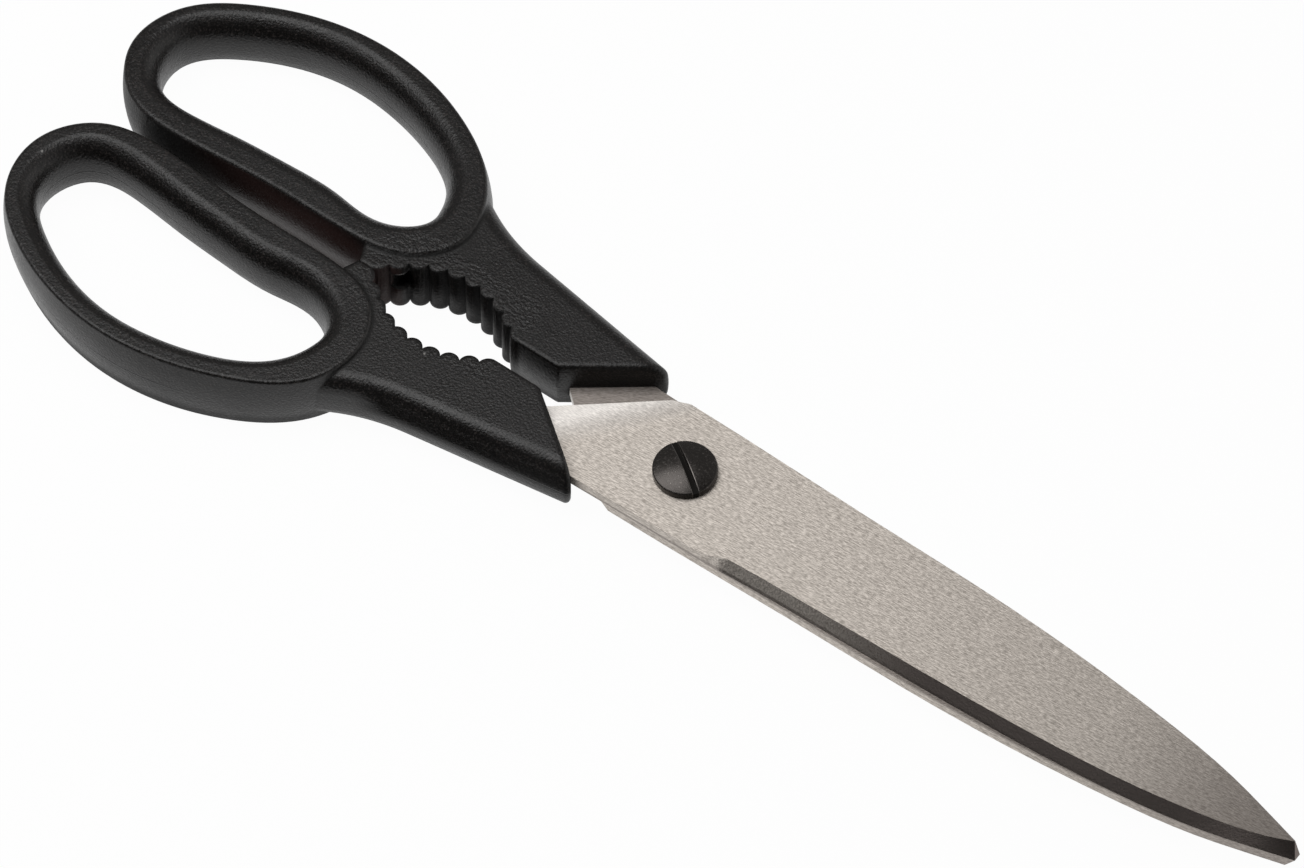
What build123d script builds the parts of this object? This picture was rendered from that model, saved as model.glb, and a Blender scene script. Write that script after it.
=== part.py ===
from build123d import *
import math
import os

# Kitchen shears with a nutcracker jaw, lying flat and closed.
# Both halves are modelled round the pivot axis, with the plane where the blades touch at z = 0.
# The right half carries its finger loop at +Y and its blade below that plane.
# The left half is the same half turned over about the X axis.
# Last, everything is moved so that the origin lies on the table under the middle of the shears.

# Overall
tip_reach = 127.3
blade_thickness = 2.2
overrun = 20.0

# Blade, seen along Z
spine_offset = 12.1
edge_offset = 12.6
shoulder_x = -7.6
shoulder_corner_x = -10.8
shoulder_corner_y = -10.8
bevel_width = 1.6
bevel_start_x = 12.2
bevel_runout_x = 16.6
bevel_start_share = 0.946
bevel_runout_share = 0.934
tip_width = 1.5
tip_setback = 1.5
tip_drop = 0.35
tip_slack = 0.12

# Tang, the end of the blade inside the handle, with its lengths as shares of the neck's
tang_inner_offset = 1.4
tang_outer_offset = 1.6
tang_root_share = 0.555
tang_root_y = 5.2
tang_waist_share = 0.790
tang_waist_y = 11.0
tang_end_share = 1.000
tang_end_width = 5.6
tang_hole_radius = 1.6

# Finger loop
loop_reach = 133.6
loop_length = 74.1
loop_width = 37.5
loop_inner_y = 2.2
loop_half_height = 6.5
loop_bulge = 0.7
loop_edge_round = 0.6
hole_end_wall = 6.0
hole_neck_wall = 8.1
hole_side_wall = 6.8
hole_outer_wall = 5.9
hole_round_width = 4.4
hole_round_height = 5.6
hole_round_steps = 4
hole_round_lift = 0.05

# Neck between the finger loop and the blade, its lengths as shares of the way from the pivot
neck_half_height = 5.6
neck_bulge = 0.7
neck_gap_half = 2.8
neck_front_inner_share = 0.494
neck_front_outer_share = 0.228
neck_front_outer_y = 14.25
neck_waist_share = 0.773
neck_waist_y = 19.2
neck_bend_share = 0.965
neck_bend_y = 22.6
neck_join_share = 1.091
neck_join_y = 26.7
neck_root_share = 1.143
neck_root_y = 18.0
neck_back_share = 1.217
neck_back_y = 5.8
neck_outer_round = 3.6
neck_front_round = 0.8

# Directions, in degrees, in which the corners of the neck stand out at mid-height
jaw_front_direction = -90
front_inner_direction = -70
front_outer_direction = 40
waist_direction = 80
bend_direction = 65
join_direction = 50

# Nutcracker jaw, also in shares of the way from the pivot to the loop
jaw_radius_share = 0.3193
jaw_center_share = 0.884
jaw_depth_share = 0.1437
jaw_front_angle = -37.2
jaw_tooth_count = 8
jaw_tooth_angle = 10.555
jaw_tooth_share = 0.329
jaw_front_share = 0.654
jaw_front_bump_height = 0.575
stop_start_share = 1.150
stop_end_share = 1.197
stop_bump_height = 0.5
pocket_share = 1.086
pocket_z = 1.5
pocket_width = 3.2
pocket_height = 4.2
pocket_depth = 5.6
pocket_corner_round = 0.5

# Pivot
pivot_radius = 3.5
pivot_clearance = 0.05
thread_radius = 2.5
thread_overhang = 0.3
thread_chamfer = 0.4
head_radius = 5.7
head_rim_height = 1.3
head_dome_height = 1.1
head_edge_round = 0.25
slot_width = 1.1
slot_depth = 1.3
slot_angle = -34.0
washer_radius = 4.2
washer_thickness = 0.4
washer_dish = 0.25
nut_radius = 4.7
nut_height = 1.9
nut_edge_round = 0.35
nut_notch_width = 1.3
nut_notch_depth = 0.9

# Outlines, as shares of the sizes above
# How far along the blade, and how much of its half width there
spine_shares = [
    (0.08, 0.980),
    (0.25, 0.938),
    (0.45, 0.905),
    (0.60, 0.818),
    (0.74, 0.670),
    (0.87, 0.446),
    (0.95, 0.220),
]
edge_shares = [
    (0.25, 0.881),
    (0.37, 0.849),
    (0.50, 0.806),
    (0.60, 0.757),
    (0.74, 0.635),
    (0.87, 0.424),
    (0.95, 0.205),
]
# Along the loop from its far end, and across it from its inner side, going round
loop_top_shares = [
    (1.008, 0.382),
    (0.978, 0.571),
    (0.873, 0.780),
    (0.719, 0.932),
    (0.521, 1.003),
    (0.320, 0.949),
    (0.152, 0.803),
    (0.034, 0.598),
    (0.000, 0.354),
    (0.054, 0.105),
    (0.190, 0.000),
    (0.453, 0.016),
    (0.777, 0.027),
    (0.912, 0.074),
    (0.976, 0.226),
]
loop_bottom_shares = [
    (1.002, 0.382),
    (0.980, 0.598),
    (0.878, 0.782),
    (0.716, 0.925),
    (0.521, 1.000),
    (0.318, 0.958),
    (0.147, 0.817),
    (0.032, 0.601),
    (0.003, 0.354),
    (0.057, 0.110),
    (0.190, 0.003),
    (0.453, 0.016),
    (0.777, 0.027),
    (0.912, 0.074),
    (0.974, 0.229),
]
hole_shares = [
    (1.000, 0.331),
    (0.943, 0.629),
    (0.757, 0.891),
    (0.535, 1.000),
    (0.340, 0.964),
    (0.153, 0.774),
    (0.027, 0.536),
    (0.000, 0.266),
    (0.078, 0.024),
    (0.243, 0.006),
    (0.493, 0.056),
    (0.743, 0.065),
    (0.900, 0.060),
    (0.972, 0.161),
]


def from_shares(shares, origin_x, origin_y, length, width):
    return [Vector(origin_x + u * length, origin_y + v * width) for u, v in shares]


def closed_curve(points, z=0):
    return Edge.make_spline([Vector(p.X, p.Y, z) for p in points], periodic=True)


def grown(points, amount):
    """A closed outline that runs counterclockwise, moved outwards by amount."""
    curve = closed_curve(points)
    moved = []
    for step in range(len(points)):
        share = step / len(points)
        along = curve.tangent_at(share)
        outward = Vector(along.Y, -along.X).normalized()
        moved.append(curve.position_at(share) + outward * amount)
    return moved


def bump(start, end, height):
    """An arc from start to end whose middle stands out to the right of that line."""
    chord = end - start
    side = Vector(chord.Y, -chord.X).normalized()
    return Edge.make_three_point_arc(start, (start + end) / 2 + side * height, end)


def polyline(points):
    return [Edge.make_line(a, b) for a, b in zip(points, points[1:])]


def along_neck(share):
    """The X position at this share of the way from the pivot to the finger loop."""
    return share * (loop_length - loop_reach)


# Blade
def front_face_y(x):
    """Where the handle's slanted front face is, seen along Z."""
    rise = neck_front_outer_y - neck_gap_half
    inner_x = along_neck(neck_front_inner_share)
    outer_x = along_neck(neck_front_outer_share)
    return neck_gap_half + (x - inner_x) * rise / (outer_x - inner_x)


def blade_wire(z, inset, setback):
    """The blade's outline at height z, drawn in by inset at the cutting edge."""
    spine = [Vector(tip_reach * u, -spine_offset * v) for u, v in spine_shares]
    edge = [Vector(tip_reach * u, edge_offset * v - inset) for u, v in edge_shares]
    tip_low = Vector(tip_reach - setback, -tip_width / 2 - setback * tip_drop)
    tip_high = Vector(tip_reach - setback, tip_low.Y + max(tip_width - inset, tip_slack))
    shoulder = Vector(shoulder_x, -spine_offset)
    corner = Vector(shoulder_corner_x, shoulder_corner_y)
    bevel_start = Vector(bevel_start_x, edge_offset * bevel_start_share)
    bevel_runout = Vector(bevel_runout_x, edge_offset * bevel_runout_share - inset)
    slant_x = along_neck(neck_front_inner_share) + tang_inner_offset
    tang_end_x = along_neck(tang_end_share)
    back = [
        bevel_runout,
        bevel_start,
        Vector(along_neck(neck_front_outer_share) - tang_outer_offset, edge_offset),
        Vector(tang_end_x, tang_waist_y + tang_end_width),
        Vector(tang_end_x, tang_waist_y),
        Vector(along_neck(tang_waist_share), tang_waist_y),
        Vector(along_neck(tang_root_share), tang_root_y),
        Vector(slant_x, front_face_y(slant_x)),
        corner,
        shoulder,
    ]
    edges = [
        Edge.make_spline([shoulder, *spine, tip_low]),
        Edge.make_line(tip_low, tip_high),
        Edge.make_spline([tip_high, *edge[::-1], bevel_runout]),
        *polyline(back),
    ]
    return Wire(edges).moved(Pos(0, 0, z))


def tang_pins(radius):
    """The two round holes in the tang, which the handle's plastic fills."""
    middle_y = tang_waist_y + tang_end_width / 2
    pins = []
    for share in (tang_end_share, tang_waist_share):
        pin = Cylinder(radius, overrun)
        pins.append(Pos(along_neck(share) + tang_end_width / 2, middle_y) * pin)
    return pins


def make_blade(bore_radius):
    outer_face = blade_wire(-blade_thickness, bevel_width, tip_setback)
    contact_face = blade_wire(0, 0, 0)
    blade = Solid.make_loft([outer_face, contact_face], ruled=True)
    return blade - Cylinder(bore_radius, overrun) - tang_pins(tang_hole_radius)


# Handle
def jaw_point(step):
    """A valley of the jaw; step counts teeth from the jaw's front end."""
    angle = math.radians(jaw_front_angle + step * jaw_tooth_angle)
    radius = -along_neck(jaw_radius_share)
    depth = -along_neck(jaw_depth_share)
    x = along_neck(jaw_center_share) - radius * math.sin(angle)
    return Vector(x, depth - radius + radius * math.cos(angle))


def jaw_tooth(start, end):
    return bump(start, end, (end - start).length * jaw_tooth_share)


def neck_wire(z, out):
    """The neck's outline at height z, with its smooth sides moved out by out."""
    def side(share, y, direction):
        angle = math.radians(direction)
        return Vector(along_neck(share) + out * math.cos(angle), y + out * math.sin(angle))

    valleys = [jaw_point(step) for step in range(jaw_tooth_count + 1)][::-1]
    teeth = [jaw_tooth(a, b) for a, b in zip(valleys, valleys[1:])]
    stop_end = Vector(along_neck(stop_end_share), 0)
    stop_start = Vector(along_neck(stop_start_share), 0)
    jaw_front = side(jaw_front_share, neck_gap_half, jaw_front_direction)
    front_inner = side(neck_front_inner_share, neck_gap_half, front_inner_direction)
    front_outer = side(neck_front_outer_share, neck_front_outer_y, front_outer_direction)
    waist = side(neck_waist_share, neck_waist_y, waist_direction)
    bend = side(neck_bend_share, neck_bend_y, bend_direction)
    join = side(neck_join_share, neck_join_y, join_direction)
    tangents = [waist - front_outer, join - bend]
    back = [
        join,
        Vector(along_neck(neck_root_share), neck_root_y),
        Vector(along_neck(neck_back_share), neck_back_y),
        Vector(along_neck(neck_back_share), neck_gap_half),
        stop_end,
    ]
    edges = [
        Edge.make_line(stop_end, stop_start),
        bump(stop_start, valleys[0], stop_bump_height),
        *teeth,
        bump(valleys[-1], jaw_front, jaw_front_bump_height),
        *polyline([jaw_front, front_inner, front_outer, waist]),
        Edge.make_spline([waist, bend, join], tangents=tangents),
        *polyline(back),
    ]
    return Wire(edges).moved(Pos(0, 0, z))


def make_neck():
    wires = [
        neck_wire(-neck_half_height, 0),
        neck_wire(0, neck_bulge),
        neck_wire(neck_half_height, 0),
    ]
    neck = Solid.make_loft(wires)
    outer_edges = [edge for edge in neck.edges() if is_outer_edge(edge.position_at(0.5))]
    neck = fillet(outer_edges, neck_outer_round)
    middle_x = along_neck((neck_front_inner_share + neck_front_outer_share) / 2)
    front_face = neck.faces().sort_by_distance(Vector(middle_x, front_face_y(middle_x)))[0]
    return fillet(front_face.edges(), neck_front_round)


def is_outer_edge(middle):
    """True for the neck's long outer edges, at the top and at the bottom."""
    level = abs(middle.Z) > neck_half_height / 2
    ahead = middle.X > along_neck(neck_join_share)
    return level and ahead and middle.Y > neck_front_outer_y


def make_loop():
    bottom, top = [
        grown(from_shares(shares, -loop_reach, loop_inner_y, loop_length, loop_width), 0)
        for shares in (loop_bottom_shares, loop_top_shares)
    ]
    middle = grown([(low + high) / 2 for low, high in zip(bottom, top)], loop_bulge)
    wires = [
        Wire([closed_curve(bottom, -loop_half_height)]),
        Wire([closed_curve(middle)]),
        Wire([closed_curve(top, loop_half_height)]),
    ]
    loop = Solid.make_loft(wires)
    return fillet(loop.edges().filter_by(GeomType.LINE, reverse=True), loop_edge_round)


def make_hole():
    """The finger hole, widening in an elliptical round towards the top and the bottom."""
    origin_x = hole_end_wall - loop_reach
    origin_y = loop_inner_y + hole_side_wall
    length = loop_length - hole_end_wall - hole_neck_wall
    width = loop_width - hole_side_wall - hole_outer_wall
    outline = from_shares(hole_shares, origin_x, origin_y, length, width)
    middle_height = loop_half_height + hole_round_lift - hole_round_height
    wires = []
    for side in (-1, 1):
        for step in range(hole_round_steps + 1):
            turn = step * math.pi / 2 / hole_round_steps
            amount = hole_round_width * (1 - math.cos(turn))
            height = side * (middle_height + hole_round_height * math.sin(turn))
            wires.append((height, grown(outline, amount)))
    wires.sort(key=lambda section: section[0])
    return Solid.make_loft([Wire([closed_curve(points, height)]) for height, points in wires])


def make_pocket():
    """The small mould pocket in the first tooth of the jaw."""
    pocket = Box(pocket_width, 2 * pocket_depth, pocket_height)
    pocket = fillet(pocket.edges().filter_by(Axis.Y), pocket_corner_round)
    return Pos(along_neck(pocket_share), 0, pocket_z) * pocket


def make_handle():
    """The plastic body, with the tang's own shape left out of it."""
    body = make_loop() + make_neck() - make_hole() - make_pocket()
    return body - make_blade(pivot_radius)


# Pivot
def disc(radius, bottom, top):
    return Pos(0, 0, (bottom + top) / 2) * Cylinder(radius, top - bottom)


def ring_of(corners):
    """A ring with this section, given as distance from the axis and height."""
    section = Wire.make_polygon([Vector(r, 0, z) for r, z in corners])
    return revolve(Face(section), Axis.Z)


def make_screw():
    seat = blade_thickness
    rim_top = seat + head_rim_height
    head_top = rim_top + head_dome_height
    ball_radius = (head_radius**2 + head_dome_height**2) / (2 * head_dome_height)
    ball = Pos(0, 0, head_top - ball_radius) * Sphere(ball_radius)
    head = disc(head_radius, seat, head_top + overrun) & ball
    rim = [edge for edge in head.edges() if edge.position_at(0).Z > seat + head_rim_height / 2]
    head = fillet([edge for edge in rim if edge.geom_type == GeomType.CIRCLE], head_edge_round)
    slot = Box(2 * head_radius + overrun, slot_width, 2 * slot_depth)
    head = head - Pos(0, 0, head_top) * Rot(0, 0, slot_angle) * slot
    thread = disc(thread_radius, nut_bottom() - thread_overhang, seat)
    thread = chamfer(thread.edges().group_by(Axis.Z)[0], thread_chamfer)
    return head + disc(pivot_radius, 0, seat) + thread


def washer_bottom():
    return -blade_thickness - washer_dish - washer_thickness


def nut_bottom():
    return washer_bottom() - nut_height


def make_washer():
    hole = thread_radius + pivot_clearance
    top = -blade_thickness
    corners = [
        (hole, top - washer_dish),
        (washer_radius, top),
        (washer_radius, top - washer_thickness),
        (hole, washer_bottom()),
        (hole, top - washer_dish),
    ]
    return ring_of(corners)


def make_nut():
    nut = disc(nut_radius, nut_bottom(), washer_bottom())
    nut = fillet(nut.edges().group_by(Axis.Z)[0], nut_edge_round)
    notch = Box(2 * nut_radius + overrun, nut_notch_width, 2 * nut_notch_depth)
    hole = Cylinder(thread_radius + pivot_clearance, overrun)
    return nut - Pos(0, 0, nut_bottom()) * notch - hole


# Assembly
def turned_over(shape):
    return Rot(180, 0, 0) * shape


handle = make_handle()
parts = {
    "upper_blade": turned_over(make_blade(pivot_radius + pivot_clearance)),
    "lower_blade": make_blade(thread_radius + pivot_clearance),
    "left_handle": turned_over(handle),
    "right_handle": handle,
    "pivot_screw": make_screw(),
    "pivot_nut": make_nut(),
    "spring_washer": make_washer(),
}

whole = Compound(list(parts.values())).bounding_box()
placed = Pos(-whole.center().X, -whole.center().Y, -whole.min.Z)
os.makedirs("parts", exist_ok=True)
for name, part in parts.items():
    export_step(placed * part, f"parts/{name}.step")
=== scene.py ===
import bpy
import math
from mathutils import Matrix, Vector

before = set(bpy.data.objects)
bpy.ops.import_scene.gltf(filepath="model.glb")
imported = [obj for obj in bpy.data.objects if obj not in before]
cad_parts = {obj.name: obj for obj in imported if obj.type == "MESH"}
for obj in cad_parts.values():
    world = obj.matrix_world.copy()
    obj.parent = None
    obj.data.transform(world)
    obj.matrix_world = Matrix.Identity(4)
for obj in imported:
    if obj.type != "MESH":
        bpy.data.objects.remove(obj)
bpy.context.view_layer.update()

# Lengths are in metres and noise scales in cells per metre.
# A pair of numbers is a range, of places or of values.

# The pivot's place; its height is the plane where the blades touch
PIVOT = Vector((0.0034752, 0.0, 0.0065))

# Camera: where it looks from, round the pivot; its lens and sensor are in millimetres
TURN = math.radians(35.855)
ELEVATION = math.radians(55.408)
ROLL = math.radians(0.895)
DISTANCE = 1.21233
RIGHT_OFFSET = 0.005808
UP_OFFSET = -0.007723
LENS = 193.23
SENSOR_WIDTH = 36.0
NEAREST_SEEN = 0.05
FARTHEST_SEEN = 30.0

right = Vector((math.cos(TURN), math.sin(TURN), 0.0))
away = Vector((-math.sin(TURN), math.cos(TURN), 0.0))
forward = away * math.cos(ELEVATION) - Vector((0, 0, 1)) * math.sin(ELEVATION)
up = away * math.sin(ELEVATION) + Vector((0, 0, 1)) * math.cos(ELEVATION)


def make_camera():
    place = PIVOT - right * RIGHT_OFFSET - up * UP_OFFSET - forward * DISTANCE
    rolled_right = right * math.cos(ROLL) + up * math.sin(ROLL)
    rolled_up = up * math.cos(ROLL) - right * math.sin(ROLL)
    axes = Matrix((rolled_right, rolled_up, -forward)).transposed()
    data = bpy.data.cameras.new("camera")
    data.sensor_width = SENSOR_WIDTH
    data.lens = LENS
    data.clip_start = NEAREST_SEEN
    data.clip_end = FARTHEST_SEEN
    camera = bpy.data.objects.new("camera", data)
    camera.matrix_world = Matrix.Translation(place) @ axes.to_4x4()
    bpy.context.scene.collection.objects.link(camera)
    bpy.context.scene.camera = camera


# Nodes: short ways to add and join them
class Graph:
    def __init__(self, owner):
        owner.use_nodes = True
        self.tree = owner.node_tree
        self.tree.nodes.clear()

    def add(self, kind, inputs=(), **settings):
        """A node with its settings, and its inputs given as numbers or as other nodes' outputs."""
        node = self.tree.nodes.new("ShaderNode" + kind)
        for name, value in settings.items():
            setattr(node, name, value)
        for key, value in dict(inputs).items():
            self.give(node.inputs[key], value)
        return node

    def give(self, socket, value):
        if isinstance(value, bpy.types.NodeSocket):
            self.tree.links.new(value, socket)
        else:
            socket.default_value = value

    def math(self, operation, *values):
        return self.add("Math", dict(enumerate(values)), operation=operation).outputs[0]

    def times(self, first, *others):
        product = first
        for other in others:
            product = self.math("MULTIPLY", product, other)
        return product

    def vector(self, operation, *values):
        return self.add("VectorMath", dict(enumerate(values)), operation=operation).outputs[0]

    def dot(self, vector, axis):
        node = self.add("VectorMath", {0: vector, 1: axis}, operation="DOT_PRODUCT")
        return node.outputs["Value"]

    def length(self, vector):
        return self.add("VectorMath", {0: vector}, operation="LENGTH").outputs["Value"]

    def parts(self, vector):
        """A vector's X, Y and Z."""
        return self.add("SeparateXYZ", {"Vector": vector}).outputs

    def step(self, value, start, end, low=0.0, high=1.0):
        """Goes smoothly from low to high while value goes from start to end."""
        keys = {"Value": value, "From Min": start, "From Max": end, "To Min": low, "To Max": high}
        return self.add("MapRange", keys, interpolation_type="SMOOTHSTEP").outputs[0]

    def fade(self, value, start, end, high=1.0):
        """Goes smoothly from high to zero while value goes from start to end."""
        return self.step(value, start, end, high, 0.0)

    def mix(self, share, first, second):
        """A colour between two colours."""
        return self.add("Mix", {0: share, 6: first, 7: second}, data_type="RGBA").outputs[2]

    def blend(self, share, first, second):
        """A number between two numbers."""
        keys = {"Value": share, "To Min": first, "To Max": second}
        return self.add("MapRange", keys).outputs[0]

    def noise(self, vector, scale, detail, roughness):
        keys = {"Vector": vector, "Scale": scale, "Detail": detail, "Roughness": roughness}
        return self.add("TexNoise", keys).outputs["Fac"]

    def drawn(self, vector, shares):
        """Coordinates that run slower along an axis, for patterns drawn out along it."""
        keys = {"Vector": vector, "Scale": shares}
        return self.add("Mapping", keys, vector_type="POINT").outputs[0]

    def streaks(self, position, direction, scale, stretch, detail):
        """Noise drawn out along a direction in the plan, given in degrees."""
        keys = {"Vector": position, "Angle": math.radians(-direction)}
        turned = self.add("VectorRotate", keys, rotation_type="Z_AXIS").outputs[0]
        return self.noise(self.drawn(turned, (1.0 / stretch, 1.0, 1.0)), scale, detail, roughness=0.6)

    def edges(self, radius):
        """The normal, with every edge and inner corner rounded by radius."""
        return self.add("Bevel", {"Radius": radius}, samples=8).outputs[0]

    def bump(self, height, distance, strength=1.0, normal=None):
        keys = {"Height": height, "Distance": distance, "Strength": strength}
        if normal:
            keys["Normal"] = normal
        return self.add("Bump", keys).outputs[0]

    def surface(self, inputs):
        shader = self.add("BsdfPrincipled", inputs)
        self.add("OutputMaterial", {"Surface": shader.outputs[0]})


def material(name):
    made = bpy.data.materials.new(name)
    return made, Graph(made)


def places(g):
    """The position, and where it is from the pivot."""
    position = g.add("TexCoord").outputs["Object"]
    return position, g.vector("SUBTRACT", position, PIVOT)


def flatness(g):
    """How far a face looks up or down: 0 on a wall, 1 on a level face."""
    normal = g.add("TexCoord").outputs["Normal"]
    return g.math("ABSOLUTE", g.parts(normal)[2])


# The part of a noise's values that counts
NOISE_RANGE = (0.3, 0.7)

# Black moulded plastic
PLASTIC = (0.0012, 0.0006, 0.0004, 1.0)
PLASTIC_GLINT_SPECK = (0.026, 0.021, 0.0195, 1.0)
PLASTIC_SCRATCHED = (0.035, 0.032, 0.031, 1.0)
PLASTIC_IOR = 1.45
PLASTIC_ROUGHNESS = (0.30, 0.38)
GRAIN_ROUGHNESS = (-0.04, 0.06)
WALL_TILT = (0.25, 0.55)

# Its edges are softened, least so on the left loop's outer wall
SOFT_ALONG = (-0.060, -0.054)
SOFT_ACROSS = (-0.017, -0.013)
EDGE_RADIUS = 0.0005
SOFT_EDGE_RADIUS = 0.0011

# Its grain, and its speckle: lighter specks in the grain that are painted glints
GRAIN_SCALE = 2500.0
PIT_SCALE = 2000.0
PIT_SHARE = 0.5
GRAIN_DEPTH = 0.00009
GRAIN_STRENGTH = 0.8
SPECKLE_SCALE = 2800.0
SPECKLE_RANGE = (0.50, 0.76)
PATCH_SCALE = 90.0
SMEAR_SCALE = 22.0

# Draft: how far the neck's outer wall and the jaws' walls lean in towards the top, and where
NECK_ALONG = (-0.056, -0.048)
NECK_ACROSS = (-0.009, -0.006)
NECK_LEVEL = (-0.0016, 0.0014)
NECK_LEAN = 0.75
JAW_LIMIT_ALONG = (-0.074, -0.068)
JAW_LIMIT = (0.0080, 0.0120)
JAW_BORDER = (-0.0010, 0.0)
JAW_FRONT = (-0.040, -0.037)
JAW_ACROSS = (-0.009, -0.007)
JAW_LEVEL = (-0.0060, 0.0040)
JAW_LEAN = (0.20, 0.60)
JAW_BACK = (-0.076, -0.066)
JAW_BACK_SHARE = 0.40
LEAN_TILT = (0.35, 0.75)

# Drag marks of the mould on the jaws' walls
DRAG_SHARES = (1.0, 1.0, 0.07)
DRAG_SCALE = 1500.0
DRAG_DEPTH = 0.00030
DRAG_STRENGTH = 1.5

# The line where the mould's halves met, all round outside the jaws
LINE_HALF_WIDTH = (0.00004, 0.00016)
LINE_SMEARS = (0.40, 0.62)
LINE_COLOUR = (0.001, 0.001, 0.001, 1.0)
LINE_SHARE = 0.8
LINE_DEPTH = 0.00012
LINE_STRENGTH = 0.8
JAW_NONE = 0.01

# Specks of dust
DUST = (0.30, 0.29, 0.28, 1.0)
DUST_SCALE = 260.0
DUST_REACH = (0.0, 0.09)
DUST_CHOSEN = (0.93, 0.95)

# Painted shade in inner corners, by how shut in they are, and a painted brown light on the walls between
# the finger loops
CORNER_SHADE = (0.0008, 0.0004, 0.0002, 1.0)
CORNER_SHADE_REACH = 0.004
CORNER_SHADE_OPEN = (0.72, 0.98)
CORNER_SHADE_ROUGHNESS = 0.25
BETWEEN_LOOPS_LIGHT = (0.038, 0.021, 0.019, 1.0)
BETWEEN_ACROSS = (0.0026, 0.0034)
BETWEEN_FRONT = (-0.066, -0.058)
BETWEEN_BACK = (-0.115, -0.085)

# A scratch on top of the right handle's neck, part of a circle
SCRATCH_CENTRE = (-0.04877, 0.01476, 0.0)
SCRATCH_RADIUS = 0.00483
SCRATCH_HALF_WIDTH = (0.00004, 0.00014)
SCRATCH_TILT = (0.9, 0.99)
SCRATCH_ACROSS = (0.0145, 0.0155)
SCRATCH_ALONG = (-0.0515, -0.0505)
SCRATCH_SHARE = 0.7


def jaw_walls(g, along, across, level):
    """How far the walls of the jaws lean in."""
    limit = g.step(along, *JAW_LIMIT_ALONG, *JAW_LIMIT)
    within = g.fade(g.math("SUBTRACT", across, limit), *JAW_BORDER)
    sides = g.times(g.fade(along, *JAW_FRONT), g.step(across, *JAW_ACROSS))
    lean = g.step(level, *JAW_LEVEL, *JAW_LEAN)
    return g.times(within, sides, lean, g.step(along, *JAW_BACK, JAW_BACK_SHARE, 1.0))


def neck_wall(g, along, across, level):
    """How far the outer wall of the left handle's neck leans in."""
    place = g.times(g.step(along, *NECK_ALONG), g.fade(across, *NECK_ACROSS))
    return g.times(place, g.step(level, *NECK_LEVEL, 0.0, NECK_LEAN))


def dust_specks(g, position):
    cells = g.add("TexVoronoi", {"Vector": position, "Scale": DUST_SCALE}).outputs
    chosen = g.add("SeparateColor", {"Color": cells["Color"]}).outputs[0]
    return g.times(g.fade(cells["Distance"], *DUST_REACH), g.step(chosen, *DUST_CHOSEN))


def scratch(g, centred, along, across, flat):
    out = g.vector("MULTIPLY", g.vector("SUBTRACT", centred, SCRATCH_CENTRE), (1.0, 1.0, 0.0))
    off = g.math("ABSOLUTE", g.math("SUBTRACT", g.length(out), SCRATCH_RADIUS))
    place = g.times(g.step(across, *SCRATCH_ACROSS), g.fade(along, *SCRATCH_ALONG))
    return g.times(g.fade(off, *SCRATCH_HALF_WIDTH), g.step(flat, *SCRATCH_TILT), place)


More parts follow.
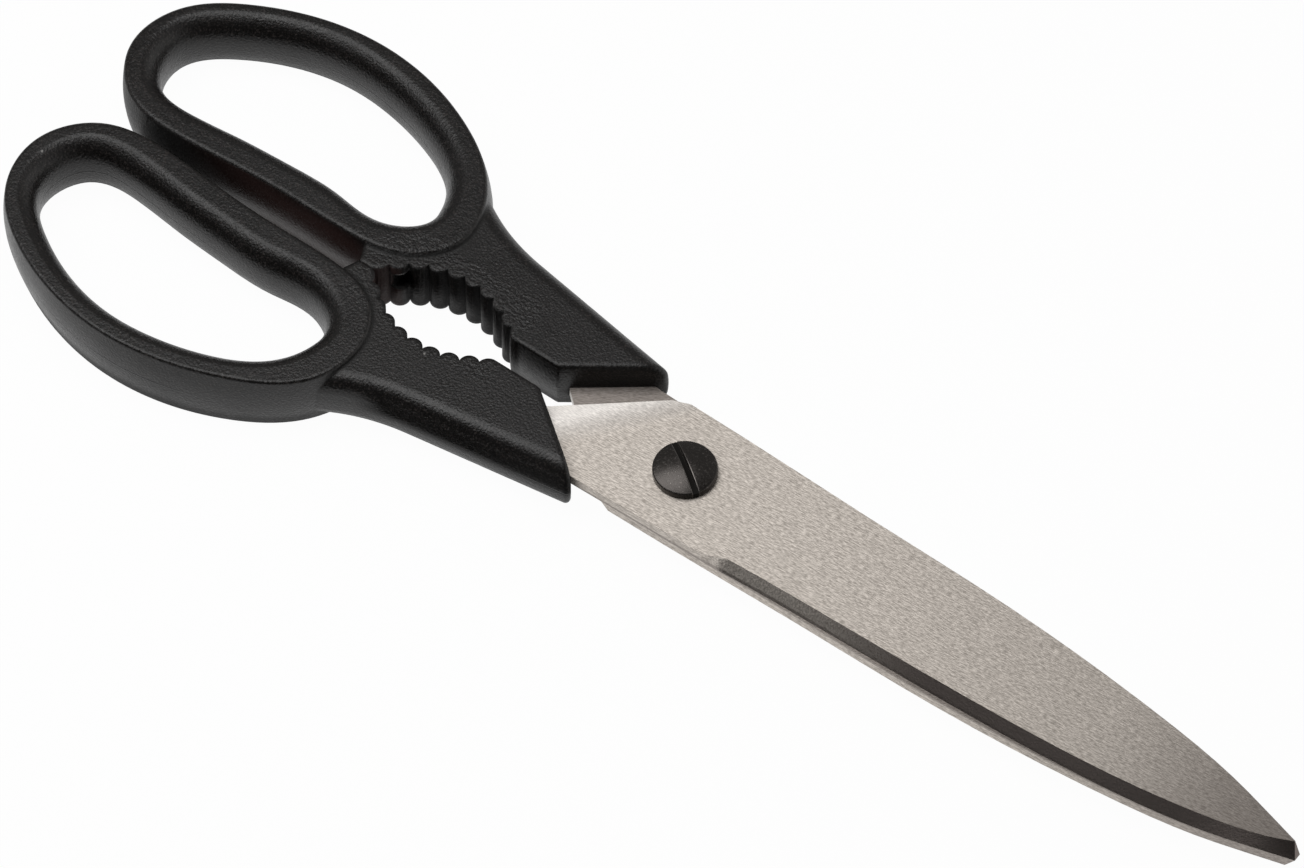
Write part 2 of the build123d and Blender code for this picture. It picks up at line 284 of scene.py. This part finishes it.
def moulded_plastic():
    made, g = material("moulded_plastic")
    position, centred = places(g)
    flat = flatness(g)
    along, across, level = g.parts(centred)
    grain = g.noise(position, GRAIN_SCALE, detail=2.0, roughness=0.6)
    speckle = g.noise(position, SPECKLE_SCALE, detail=1.0, roughness=0.5)
    pits = g.add("TexVoronoi", {"Vector": position, "Scale": PIT_SCALE}).outputs["Distance"]
    patches = g.noise(position, PATCH_SCALE, detail=3.0, roughness=0.55)
    smears = g.noise(position, SMEAR_SCALE, detail=2.0, roughness=0.5)

    # Shapes in the surface, coarse to fine
    soft = g.math("MAXIMUM", g.step(along, *SOFT_ALONG), g.step(across, *SOFT_ACROSS))
    normal = g.edges(g.blend(soft, EDGE_RADIUS, SOFT_EDGE_RADIUS))
    jaws = jaw_walls(g, along, across, level)
    lean = g.math("MAXIMUM", neck_wall(g, along, across, level), jaws)
    lean = g.times(lean, g.fade(flat, *LEAN_TILT))
    normal = g.vector("ADD", normal, g.add("CombineXYZ", {"Z": lean}).outputs[0])
    normal = g.vector("NORMALIZE", normal)
    marks = g.noise(g.drawn(position, DRAG_SHARES), DRAG_SCALE, detail=2.0, roughness=0.6)
    dragged = g.times(jaws, g.step(along, *JAW_LIMIT_ALONG, 0.0, DRAG_STRENGTH))
    normal = g.bump(marks, DRAG_DEPTH, dragged, normal)
    height = g.math("ADD", grain, g.times(pits, PIT_SHARE))
    normal = g.bump(height, GRAIN_DEPTH, GRAIN_STRENGTH, normal)
    wall = g.fade(flat, *WALL_TILT)
    shown = g.times(g.step(smears, *LINE_SMEARS), g.math("GREATER_THAN", JAW_NONE, jaws))
    line = g.times(g.fade(g.math("ABSOLUTE", level), *LINE_HALF_WIDTH), wall, shown)
    normal = g.bump(line, LINE_DEPTH, LINE_STRENGTH, normal)

    # Colour
    # Painted shade: inner corners made darker and rougher, by how shut in they are
    shut_in = g.add("AmbientOcclusion", {"Distance": CORNER_SHADE_REACH}, samples=8).outputs["AO"]
    corner_shade = g.fade(shut_in, *CORNER_SHADE_OPEN)
    between = g.times(g.fade(g.math("ABSOLUTE", across), *BETWEEN_ACROSS), wall)
    between = g.times(between, g.fade(along, *BETWEEN_FRONT), g.step(along, *BETWEEN_BACK))
    # Lighter specks: painted glints
    colour = g.mix(g.step(speckle, *SPECKLE_RANGE), PLASTIC, PLASTIC_GLINT_SPECK)
    colour = g.mix(corner_shade, colour, CORNER_SHADE)
    # Painted brown light on the walls between the finger loops
    colour = g.mix(between, colour, BETWEEN_LOOPS_LIGHT)
    colour = g.mix(g.times(line, LINE_SHARE), colour, LINE_COLOUR)
    colour = g.mix(dust_specks(g, position), colour, DUST)
    scratched = g.times(scratch(g, centred, along, across, flat), SCRATCH_SHARE)
    colour = g.mix(scratched, colour, PLASTIC_SCRATCHED)

    roughness = g.step(patches, *NOISE_RANGE, *PLASTIC_ROUGHNESS)
    roughness = g.math("ADD", roughness, g.times(corner_shade, CORNER_SHADE_ROUGHNESS))
    roughness = g.math("ADD", roughness, g.step(grain, *NOISE_RANGE, *GRAIN_ROUGHNESS))
    g.surface({"Base Color": colour, "Roughness": roughness, "Normal": normal, "IOR": PLASTIC_IOR})
    return made


# Ground steel
STEEL_LIGHT = (0.68, 0.625, 0.57, 1.0)
STEEL_DARK = (0.38, 0.345, 0.31, 1.0)
STEEL_PAINTED_HIGHLIGHT = (0.95, 0.925, 0.90, 1.0)
STEEL_PAINTED_SHADE = (0.17, 0.145, 0.135, 1.0)
STEEL_ROUGHNESS = (0.60, 0.48)
STEEL_ANISOTROPY = 0.65
BEVEL_ROUGHNESS = 0.28
BEVEL_STEEP = (0.2, 0.4)
BEVEL_FLAT = (0.8, 0.95)
CONTACT_DEPTH = (0.0003, 0.0006)

# The directions in which its faces were ground, in degrees, and the streaks that this left
OUTER_GRIND = 6.0
CONTACT_GRIND = 32.0
BEVEL_GRIND = 78.0
LONG_TURN = -3.0
STREAK_SCALE = 5400.0
STREAK_DETAIL = 1.5
FINE_STRETCH = 5.0
LONG_STRETCH = 20.0
FINE_SHARE = 0.65
BEVEL_STREAK_SCALE = 3400.0
BEVEL_STRETCH = 12.0
BEVEL_DETAIL = 3.0
STREAK_CONTRAST = (0.33, 0.67)
STREAK_DEPTH = 0.00006
STREAK_STRENGTH = 0.7

# Painted shade: along the bevel, where the blades touch and towards the tip
BEVEL_SHADE_ALONG = (0.026, 0.060)
BEVEL_SHADE = 0.95
CONTACT_SHADE = 0.6
TIP_SHADE_ALONG = (0.085, 0.122)
TIP_SHADE = 0.55

# It sinks a little along a line beside the shoulder, and a highlight is painted along that sink
SINK_DIRECTION = Vector((0.793, -0.609, 0.0))
SINK_PLACE = 0.0129
SINK_WIDTH = (-0.0045, 0.0025)
SINK_DEPTH = 0.0009
SINK_HIGHLIGHT_SHARE = 0.55


def ground(g, position, direction):
    """Fine streaks along a direction, and longer ones nearly along it."""
    fine = g.streaks(position, direction, STREAK_SCALE, FINE_STRETCH, STREAK_DETAIL)
    long = g.streaks(position, direction + LONG_TURN, STREAK_SCALE, LONG_STRETCH, STREAK_DETAIL)
    return g.math("ADD", g.times(fine, FINE_SHARE), g.times(long, 1.0 - FINE_SHARE))


def across_grind(direction):
    turn = math.radians(direction) + math.pi / 2
    return math.cos(turn), math.sin(turn), 0.0


def ground_steel():
    made, g = material("ground_steel")
    position, centred = places(g)
    flat = flatness(g)
    along = g.parts(centred)[0]
    level = g.parts(centred)[2]
    bevel = g.times(g.step(flat, *BEVEL_STEEP), g.fade(flat, *BEVEL_FLAT))
    contact = g.fade(g.math("ABSOLUTE", level), *CONTACT_DEPTH)

    lines = g.blend(contact, ground(g, position, OUTER_GRIND), ground(g, position, CONTACT_GRIND))
    bevel_lines = g.streaks(position, BEVEL_GRIND, BEVEL_STREAK_SCALE, BEVEL_STRETCH, BEVEL_DETAIL)
    lines = g.blend(bevel, lines, bevel_lines)
    sink = g.fade(g.math("ADD", g.dot(centred, SINK_DIRECTION), SINK_PLACE), *SINK_WIDTH)
    normal = g.bump(sink, SINK_DEPTH)
    normal = g.bump(lines, STREAK_DEPTH, STREAK_STRENGTH, normal)

    # Painted shade on the bevel, on the face where the blades touch and towards the tip
    painted_shade = g.times(bevel, g.step(along, *BEVEL_SHADE_ALONG, 0.0, BEVEL_SHADE))
    painted_shade = g.math("MAXIMUM", painted_shade, g.times(contact, CONTACT_SHADE))
    painted_shade = g.math("MAXIMUM", painted_shade, g.step(along, *TIP_SHADE_ALONG, 0.0, TIP_SHADE))
    # A highlight painted along the sink, but not on the face where the blades touch
    painted_highlight = g.times(sink, g.math("SUBTRACT", 1.0, contact), SINK_HIGHLIGHT_SHARE)
    colour = g.mix(g.step(lines, *STREAK_CONTRAST), STEEL_DARK, STEEL_LIGHT)
    colour = g.mix(painted_shade, colour, STEEL_PAINTED_SHADE)
    colour = g.mix(painted_highlight, colour, STEEL_PAINTED_HIGHLIGHT)
    roughness = g.step(lines, *NOISE_RANGE, *STEEL_ROUGHNESS)
    roughness = g.blend(bevel, roughness, BEVEL_ROUGHNESS)

    turns = {0: contact, 4: across_grind(OUTER_GRIND), 5: across_grind(CONTACT_GRIND)}
    tangent = g.add("Mix", turns, data_type="VECTOR").outputs[1]
    tangent = g.add("VectorTransform", {"Vector": tangent}, vector_type="VECTOR",
                    convert_from="OBJECT", convert_to="WORLD").outputs[0]
    g.surface({"Base Color": colour, "Metallic": 1.0, "Roughness": roughness,
               "Anisotropic": STEEL_ANISOTROPY, "Tangent": tangent, "Normal": normal})
    return made


# Blackened steel of the screw and its nut
BLACKENED = (0.052, 0.047, 0.044, 1.0)
RUBBED = (0.26, 0.24, 0.225, 1.0)
BLACKENED_METALLIC = 0.9
BLACKENED_ROUGHNESS = (0.24, 0.36)
BLACKENED_EDGE_RADIUS = 0.0003
BLACKENED_DEPTH = 0.00003
BLACKENED_STRENGTH = 0.5
RING_SCALE = 3200.0
RING_SHARE = 0.6
SPOT_SCALE = 2600.0
SPOT_RANGE = (0.55, 0.95)

# The screw's slot: the direction across it, its rubbed rims and the shade painted inside it
SLOT_TURN = math.radians(34.0)
SLOT_ACROSS = Vector((math.sin(SLOT_TURN), math.cos(SLOT_TURN), 0.0))
HEAD_LEVEL = (0.0, 0.001)
SLOT_RIM = (0.00057, 0.00080)
SLOT_RIM_SHARE = 0.4
SLOT_INSIDE = (0.00050, 0.00056)
SLOT_INSIDE_SHARE = 0.9
SLOT_PAINTED_SHADE = (0.003, 0.0025, 0.002, 1.0)
SLOT_ROUGHNESS = 0.7


def blackened_steel():
    made, g = material("blackened_steel")
    position, centred = places(g)
    level = g.parts(centred)[2]
    radius = g.length(g.vector("MULTIPLY", centred, (1.0, 1.0, 0.0)))
    section = g.add("CombineXYZ", {"X": radius, "Z": level}).outputs[0]
    rings = g.noise(section, RING_SCALE, detail=3.0, roughness=0.6)
    spots = g.noise(position, SPOT_SCALE, detail=2.0, roughness=0.6)
    off_slot = g.math("ABSOLUTE", g.dot(centred, SLOT_ACROSS))
    above = g.step(level, *HEAD_LEVEL)
    rim = g.times(above, g.fade(off_slot, *SLOT_RIM, SLOT_RIM_SHARE))
    inside = g.times(above, g.fade(off_slot, *SLOT_INSIDE, SLOT_INSIDE_SHARE))

    colour = g.mix(g.step(spots, *SPOT_RANGE), BLACKENED, RUBBED)
    colour = g.mix(rim, colour, RUBBED)
    # Painted shade inside the slot
    colour = g.mix(inside, colour, SLOT_PAINTED_SHADE)
    roughness = g.step(spots, *NOISE_RANGE, *BLACKENED_ROUGHNESS)
    roughness = g.blend(inside, roughness, SLOT_ROUGHNESS)
    height = g.math("ADD", g.times(rings, RING_SHARE), g.times(spots, 1.0 - RING_SHARE))
    normal = g.edges(BLACKENED_EDGE_RADIUS)
    normal = g.bump(height, BLACKENED_DEPTH, BLACKENED_STRENGTH, normal)
    g.surface({"Base Color": colour, "Metallic": BLACKENED_METALLIC, "Roughness": roughness,
               "Normal": normal})
    return made


def dress(finish, *nodes):
    """Gives these pieces this material in each of their slots."""
    for node in nodes:
        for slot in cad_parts[node].material_slots:
            slot.material = finish


# Table: a white sheet that shows the object's shadow faintly
TABLE_REACH = 3.0
TABLE_WHITE = (0.86, 0.86, 0.86, 1.0)
TABLE_SEEN_GLOW = 0.97
TABLE_MIRRORED_GLOW = 0.88
PLAIN_WHITE = (1.0, 1.0, 1.0, 1.0)


def table_white():
    made, g = material("table_white")
    paper = g.add("BsdfDiffuse", {"Color": TABLE_WHITE}).outputs[0]
    glow = g.add("Emission", {"Color": PLAIN_WHITE, "Strength": 1.0}).outputs[0]
    path = g.add("LightPath").outputs
    seen = g.times(path["Is Camera Ray"], TABLE_SEEN_GLOW)
    mirrored = g.math("MAXIMUM", path["Is Glossy Ray"], path["Is Transmission Ray"])
    share = g.math("MAXIMUM", seen, g.times(mirrored, TABLE_MIRRORED_GLOW))
    blend = g.add("MixShader", {0: share, 1: paper, 2: glow}).outputs[0]
    g.add("OutputMaterial", {"Surface": blend})
    return made


def make_table():
    corners = [(-1, -1), (1, -1), (1, 1), (-1, 1)]
    mesh = bpy.data.meshes.new("table")
    mesh.from_pydata([(x * TABLE_REACH, y * TABLE_REACH, 0) for x, y in corners], [], [(0, 1, 2, 3)])
    mesh.materials.append(table_white())
    table = bpy.data.objects.new("table", mesh)
    bpy.context.scene.collection.objects.link(table)


# Studio: a dim room, a little paler on its far side and bright on the camera's right
ROOM_COLOUR = (1.0, 0.99, 0.975, 1.0)
ROOM_LEVEL = 0.085
FAR_WALL_REACH = (0.05, 0.45)
FAR_WALL_LEVEL = 0.20
SIDE_REACH = (0.5, 0.9)
SIDE_LEVEL = 0.8


def make_studio():
    world = bpy.data.worlds.new("studio")
    bpy.context.scene.world = world
    g = Graph(world)
    direction = g.add("TexCoord").outputs["Generated"]
    far_wall = g.step(g.dot(direction, away), *FAR_WALL_REACH, 0.0, FAR_WALL_LEVEL)
    side = g.step(g.dot(direction, right), *SIDE_REACH, 0.0, SIDE_LEVEL)
    level = g.math("ADD", g.math("ADD", far_wall, side), ROOM_LEVEL)
    room = g.add("Background", {"Color": ROOM_COLOUR, "Strength": level}).outputs[0]
    white = g.add("Background", {"Color": PLAIN_WHITE, "Strength": 1.0}).outputs[0]
    seen = g.add("LightPath").outputs["Is Camera Ray"]
    blend = g.add("MixShader", {0: seen, 1: room, 2: white}).outputs[0]
    g.add("OutputWorld", {"Surface": blend})


# The lamp hangs low over the handles, so its light falls off towards the tip.
# Its reach gives its length and, along X, its middle. Near and far give its depth, away from the camera.
LAMP_HEIGHT = 0.45
LAMP_REACH = (-0.62, -0.02)
LAMP_NEAR = -0.24
LAMP_FAR = 0.03
LAMP_WATTS_PER_SQUARE_METRE = 10.8


def make_lamp():
    middle = Vector((sum(LAMP_REACH) / 2, 0.0, LAMP_HEIGHT))
    place = middle + away * (LAMP_NEAR + LAMP_FAR) / 2
    data = bpy.data.lights.new("overhead", "AREA")
    data.shape = "RECTANGLE"
    data.size = LAMP_REACH[1] - LAMP_REACH[0]
    data.size_y = LAMP_FAR - LAMP_NEAR
    data.energy = LAMP_WATTS_PER_SQUARE_METRE * data.size * data.size_y
    lamp = bpy.data.objects.new("overhead", data)
    lamp.matrix_world = Matrix.Translation(place) @ Matrix.Rotation(TURN, 4, "Z")
    lamp.visible_camera = False
    bpy.context.scene.collection.objects.link(lamp)


make_camera()
dress(moulded_plastic(), "left_handle", "right_handle")
dress(ground_steel(), "upper_blade", "lower_blade", "spring_washer")
dress(blackened_steel(), "pivot_screw", "pivot_nut")
make_table()
make_studio()
make_lamp()
bpy.context.scene.view_settings.view_transform = "Standard"
